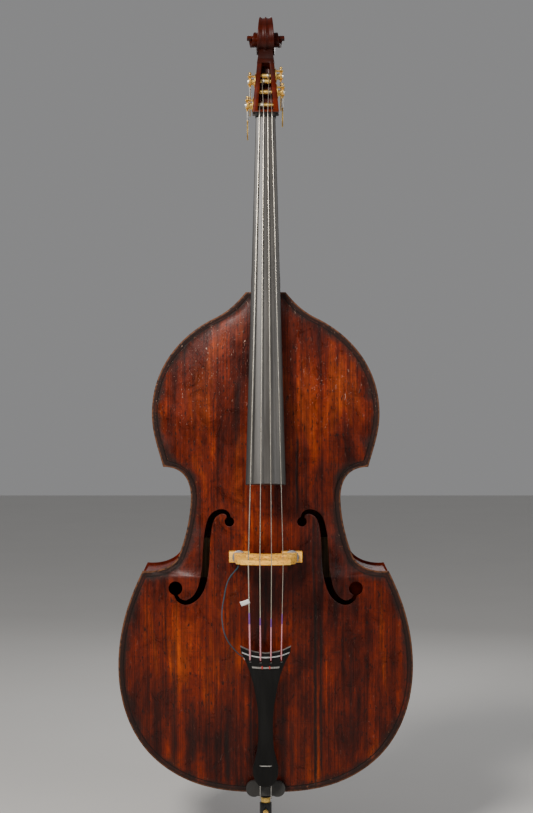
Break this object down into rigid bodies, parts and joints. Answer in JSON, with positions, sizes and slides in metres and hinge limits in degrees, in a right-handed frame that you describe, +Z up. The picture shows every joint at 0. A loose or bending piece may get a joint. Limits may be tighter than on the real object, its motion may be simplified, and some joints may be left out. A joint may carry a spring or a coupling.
{
  "type": "double bass",
  "caption": "Upright double bass with a carved belly, flat back, worm tuning machines, adjustable bridge, bridge pickup and a sliding endpin",
  "frame": {"origin": "tip of the endpin, on the floor, in the body's middle plane", "axes": "+Z runs up the body to the scroll, the strings and belly face -Y, +X is the treble side, and +Y is the back"},
  "size_m": [0.678, 0.3814, 1.9413],
  "materials": {
    "belly_varnish": "old red-brown varnish over spruce",
    "body_varnish": "old red-brown varnish over maple",
    "bare_spruce": "planed, not varnished",
    "ebony": "satin",
    "maple": "waxed",
    "wheel_metal": "satin",
    "pickup_pad": "satin",
    "lead_sleeve": "matt",
    "jack_metal": "polished",
    "bright_steel": "polished",
    "string_steel": "wound",
    "old_brass": "worn",
    "black_metal": "satin black",
    "tip_rubber": "matt",
    "white_paper": "matt"
  },
  "bodies": {
    "instrument": {"belly": "belly_varnish", "back": "body_varnish", "rib_upper_bass": "body_varnish", "rib_upper_treble": "body_varnish", "rib_centre_bass": "body_varnish", "rib_centre_treble": "body_varnish", "rib_lower_bass": "body_varnish", "rib_lower_treble": "body_varnish", "linings": "bare_spruce", "neck_block": "bare_spruce", "end_block": "bare_spruce", "corner_blocks": "bare_spruce", "bass_bar": "bare_spruce", "sound_post": "bare_spruce", "back_braces": "bare_spruce", "neck": "body_varnish", "fingerboard": "ebony", "nut": "ebony", "saddle": "ebony", "bridge": "maple", "bridge_foot_bass": "maple", "bridge_foot_treble": "maple", "pickup_elements": "pickup_pad", "pickup_lead": "lead_sleeve", "pickup_jack": "jack_metal", "tailpiece": "ebony", "tailpiece_fret": "bright_steel", "tailpiece_bar": "bright_steel", "tail_wire": "bright_steel", "string_tag": "white_paper", "string_e": "string_steel", "string_a": "string_steel", "string_d": "string_steel", "string_g": "string_steel", "machine_plates": "old_brass", "plate_screws": "old_brass", "endpin_plug": "ebony", "endpin_ferrule": "old_brass", "endpin_collar": "black_metal"},
    "key_e": {"key_e": "old_brass"},
    "gear_e": {"gear_e": "old_brass", "roller_e": "old_brass", "gear_screw_e": "bright_steel"},
    "key_a": {"key_a": "old_brass"},
    "gear_a": {"gear_a": "old_brass", "roller_a": "old_brass", "gear_screw_a": "bright_steel"},
    "key_d": {"key_d": "old_brass"},
    "gear_d": {"gear_d": "old_brass", "roller_d": "old_brass", "gear_screw_d": "bright_steel"},
    "key_g": {"key_g": "old_brass"},
    "gear_g": {"gear_g": "old_brass", "roller_g": "old_brass", "gear_screw_g": "bright_steel"},
    "adjuster_bass": {"adjuster_bass": "wheel_metal"},
    "adjuster_treble": {"adjuster_treble": "wheel_metal"},
    "endpin": {"endpin_rod": "bright_steel", "endpin_tip": "tip_rubber"},
    "endpin_screw": {"endpin_screw": "old_brass"}
  },
  "joints": [
    {"name": "key_e_spin", "type": "hinge", "parent": "instrument", "child": "key_e", "pos_m": [-0.04233, -0.02921, 1.72671], "axis": [0, -0.309, 0.9511], "continuous": true},
    {"name": "gear_e_spin", "type": "hinge", "parent": "instrument", "child": "gear_e", "pos_m": [-0.04233, -0.04585, 1.7213], "axis": [-1, 0, 0], "continuous": true},
    {"name": "key_a_spin", "type": "hinge", "parent": "instrument", "child": "key_a", "pos_m": [-0.037, -0.00441, 1.78571], "axis": [0, -0.309, 0.9511], "continuous": true},
    {"name": "gear_a_spin", "type": "hinge", "parent": "instrument", "child": "gear_a", "pos_m": [-0.037, -0.02105, 1.7803], "axis": [-1, 0, 0], "continuous": true},
    {"name": "key_d_spin", "type": "hinge", "parent": "instrument", "child": "key_d", "pos_m": [0.03575, 0.00141, 1.79953], "axis": [0, -0.309, 0.9511], "continuous": true},
    {"name": "gear_d_spin", "type": "hinge", "parent": "instrument", "child": "gear_d", "pos_m": [0.03575, -0.01524, 1.79413], "axis": [1, 0, 0], "continuous": true},
    {"name": "key_g_spin", "type": "hinge", "parent": "instrument", "child": "key_g", "pos_m": [0.03942, -0.01564, 1.75897], "axis": [0, -0.309, 0.9511], "continuous": true},
    {"name": "gear_g_spin", "type": "hinge", "parent": "instrument", "child": "gear_g", "pos_m": [0.03942, -0.03229, 1.75357], "axis": [1, 0, 0], "continuous": true},
    {"name": "adjuster_bass_turn", "type": "hinge", "parent": "instrument", "child": "adjuster_bass", "pos_m": [-0.0598, -0.154, 0.681], "axis": [0, -1, 0], "range_deg": [-360, 360]},
    {"name": "adjuster_treble_turn", "type": "hinge", "parent": "instrument", "child": "adjuster_treble", "pos_m": [0.0598, -0.154, 0.681], "axis": [0, -1, 0], "range_deg": [-360, 360]},
    {"name": "endpin_slide", "type": "slide", "parent": "instrument", "child": "endpin", "axis": [0, 0, -1], "range_m": [-0.02, 0.2]},
    {"name": "endpin_screw_turn", "type": "hinge", "parent": "instrument", "child": "endpin_screw", "pos_m": [0, -0.02, 0.071], "axis": [0, -1, 0], "range_deg": [0, 180]}
  ],
  "couplings": [
    {"joint": "gear_e_spin", "follows": "key_e_spin", "ratio": -0.05},
    {"joint": "gear_a_spin", "follows": "key_a_spin", "ratio": -0.05},
    {"joint": "gear_d_spin", "follows": "key_d_spin", "ratio": -0.05},
    {"joint": "gear_g_spin", "follows": "key_g_spin", "ratio": -0.05}
  ]
}
